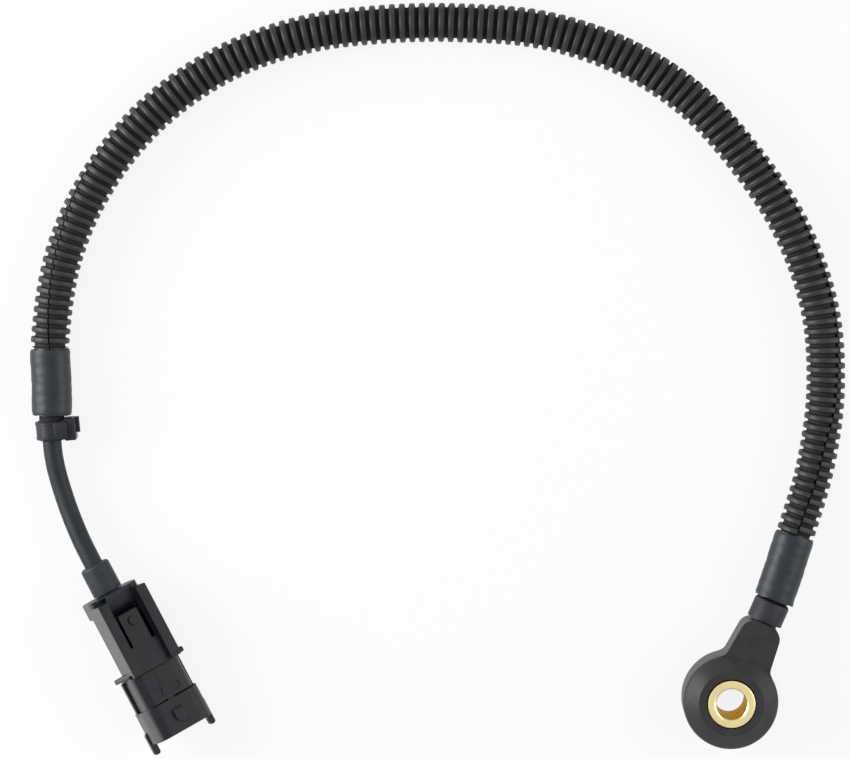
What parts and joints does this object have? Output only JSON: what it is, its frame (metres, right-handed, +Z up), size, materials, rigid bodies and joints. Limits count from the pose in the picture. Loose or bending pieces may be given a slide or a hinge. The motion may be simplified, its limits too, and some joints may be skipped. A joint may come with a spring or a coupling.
{
  "type": "engine knock sensor",
  "caption": "Bolt-on piezo knock sensor: round moulded head with brass fixing sleeve, lead in split corrugated conduit laid in a loop, and a moulded plug housing.",
  "frame": {"origin": "centre of the head's base, on the plane of the fixing sleeve's contact face", "axes": "+Z up along the fixing bore, +Y from the bore towards the cable's exit, +X to the right seen from above"},
  "size_m": [0.2344, 0.2315, 0.0185],
  "materials": {
    "sleeve_brass": "turned, pale gold, satin",
    "head_plastic": "moulded, near black",
    "plug_plastic": "moulded, near black",
    "conduit_plastic": "extruded, near black",
    "grommet_plastic": "moulded, dark grey",
    "tie_plastic": "moulded, dark grey",
    "shrink_film": "shrunk on, dark grey, soft sheen",
    "cable_jacket": "extruded, near black",
    "boot_rubber": "moulded, dark grey",
    "steel": "turned, bare",
    "tinned_contact": "stamped, tinned",
    "ceramic": "fired, off-white",
    "insulating_film": "amber film",
    "white_insulation": "white",
    "blue_insulation": "blue",
    "bare_core": "bare copper strands"
  },
  "bodies": {
    "root": {"fixing_sleeve": "sleeve_brass", "head_housing": "head_plastic", "lower_insulator": "insulating_film", "upper_insulator": "insulating_film", "lower_contact_disc": "tinned_contact", "upper_contact_disc": "tinned_contact", "piezo_ring": "ceramic", "seismic_mass": "steel", "spring_washer": "steel", "retaining_nut": "steel", "shunt_resistor": "blue_insulation", "signal_core": "white_insulation", "ground_core": "blue_insulation", "cable_grommet": "grommet_plastic", "cable": "cable_jacket", "corrugated_conduit": "conduit_plastic", "head_shrink_sleeve": "shrink_film", "plug_shrink_sleeve": "shrink_film", "inner_sleeve": "conduit_plastic", "cable_tie": "tie_plastic", "plug_boot": "boot_rubber", "plug_housing": "plug_plastic", "terminal_1": "tinned_contact", "terminal_2": "tinned_contact", "terminal_3": "tinned_contact", "plug_signal_core": "white_insulation", "plug_drain_core": "bare_core", "plug_ground_core": "blue_insulation"}
  },
  "joints": []
}
